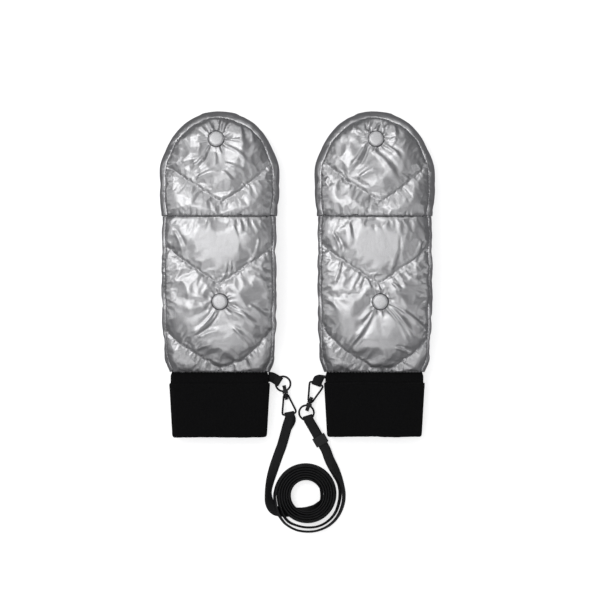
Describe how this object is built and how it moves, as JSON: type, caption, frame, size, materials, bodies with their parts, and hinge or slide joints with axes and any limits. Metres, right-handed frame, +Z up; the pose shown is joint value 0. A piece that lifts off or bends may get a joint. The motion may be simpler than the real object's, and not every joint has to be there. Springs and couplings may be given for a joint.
{
  "type": "ski mitten pair",
  "caption": "Pair of quilted flip-top puffer mittens with rib-knit cuffs and magnetic snaps, clipped to a coiled webbing leash.",
  "frame": {"origin": "midway between the two mittens, on the surface that they lie on", "axes": "+Y along the mittens toward the fingertips, +Z up out of the backs of the hands, +X toward the right mitten"},
  "size_m": [0.273, 0.421, 0.0504],
  "materials": {
    "silver_fabric": "metallic foil-coated woven polyester, crinkled, satin",
    "wadding": "soft synthetic wadding",
    "lining": "brushed fleece",
    "black_knit": "fine rib knit, matte",
    "black_webbing": "flat woven webbing, matte",
    "black_metal": "black satin enamel",
    "silver_metal": "fine matte blasted",
    "magnet": "nickel-plated magnet",
    "steel": "plain"
  },
  "bodies": {
    "root": {"left_back_shell": "silver_fabric", "left_palm_shell": "silver_fabric", "left_padding": "wadding", "left_lining": "lining", "left_finger_sleeve": "black_knit", "left_rib_cuff": "black_knit", "left_thumb_shell": "silver_fabric", "left_thumb_lining": "lining", "left_hand_snap_cover": "silver_metal", "left_hand_snap_magnet": "magnet", "left_hand_snap_rivet": "steel", "left_hand_snap_backplate": "steel", "left_leash_tab": "black_webbing", "left_clip_bail": "black_metal", "right_back_shell": "silver_fabric", "right_palm_shell": "silver_fabric", "right_padding": "wadding", "right_lining": "lining", "right_finger_sleeve": "black_knit", "right_rib_cuff": "black_knit", "right_thumb_shell": "silver_fabric", "right_thumb_lining": "lining", "right_hand_snap_cover": "silver_metal", "right_hand_snap_magnet": "magnet", "right_hand_snap_rivet": "steel", "right_hand_snap_backplate": "steel", "right_leash_tab": "black_webbing", "right_clip_bail": "black_metal", "leash_strap_left": "black_webbing", "leash_strap_coil": "black_webbing", "leash_strap_right": "black_webbing", "leash_strap_tail": "black_webbing"},
    "left_cap": {"left_cap_back_shell": "silver_fabric", "left_cap_palm_shell": "silver_fabric", "left_cap_padding": "wadding", "left_cap_lining": "lining", "left_cap_snap_cover": "silver_metal", "left_cap_snap_magnet": "magnet", "left_cap_snap_rivet": "steel", "left_cap_snap_backplate": "steel"},
    "right_cap": {"right_cap_back_shell": "silver_fabric", "right_cap_palm_shell": "silver_fabric", "right_cap_padding": "wadding", "right_cap_lining": "lining", "right_cap_snap_cover": "silver_metal", "right_cap_snap_magnet": "magnet", "right_cap_snap_rivet": "steel", "right_cap_snap_backplate": "steel"},
    "left_hook": {"left_clip_hook": "black_metal", "left_clip_gate_pin": "steel"},
    "right_hook": {"right_clip_hook": "black_metal", "right_clip_gate_pin": "steel"},
    "left_gate": {"left_clip_gate": "black_metal", "left_clip_gate_spring": "steel"},
    "right_gate": {"right_clip_gate": "black_metal", "right_clip_gate_spring": "steel"},
    "left_ring": {"left_tab_ring": "black_metal"},
    "leash_ring": {"leash_ring": "black_metal"},
    "slider": {"leash_slider": "black_metal"}
  },
  "joints": [
    {"name": "left_cap_fold", "type": "hinge", "parent": "root", "child": "left_cap", "pos_m": [-0.0775, 0.0585, 0.0515], "axis": [1, 0, 0], "range_deg": [0, 185]},
    {"name": "right_cap_fold", "type": "hinge", "parent": "root", "child": "right_cap", "pos_m": [0.0775, 0.0585, 0.0515], "axis": [1, 0, 0], "range_deg": [0, 185]},
    {"name": "left_clip_swivel", "type": "hinge", "parent": "root", "child": "left_hook", "pos_m": [-0.0115, -0.1192, 0.005], "axis": [-0.1903, 0.9817, 0], "range_deg": [-25, 25]},
    {"name": "left_clip_gate", "type": "hinge", "parent": "left_hook", "child": "left_gate", "pos_m": [-0.01174, -0.11797, 0.00735], "axis": [-0.9817, -0.1903, 0], "range_deg": [0, 30], "stiffness_Nm_per_rad": 0.004, "springref_deg": -11.46},
    {"name": "right_clip_swivel", "type": "hinge", "parent": "root", "child": "right_hook", "pos_m": [0.0127, -0.1284, 0.005], "axis": [-0.3431, -0.9393, 0], "range_deg": [-25, 25]},
    {"name": "right_clip_gate", "type": "hinge", "parent": "right_hook", "child": "right_gate", "pos_m": [0.01227, -0.12957, 0.00735], "axis": [0.9393, -0.3431, 0], "range_deg": [0, 30], "stiffness_Nm_per_rad": 0.004, "springref_deg": -11.46},
    {"name": "left_ring_spin", "type": "hinge", "parent": "root", "child": "left_ring", "pos_m": [-0.014, -0.1092, 0.005], "axis": [0, 0, 1], "continuous": true},
    {"name": "leash_ring_spin", "type": "hinge", "parent": "root", "child": "leash_ring", "pos_m": [0.0095, -0.1382, 0.005], "axis": [0, 0, 1], "continuous": true},
    {"name": "slider_slide", "type": "slide", "parent": "root", "child": "slider", "axis": [0.4924, -0.8704, 0], "range_m": [-0.006, 0.006]}
  ]
}
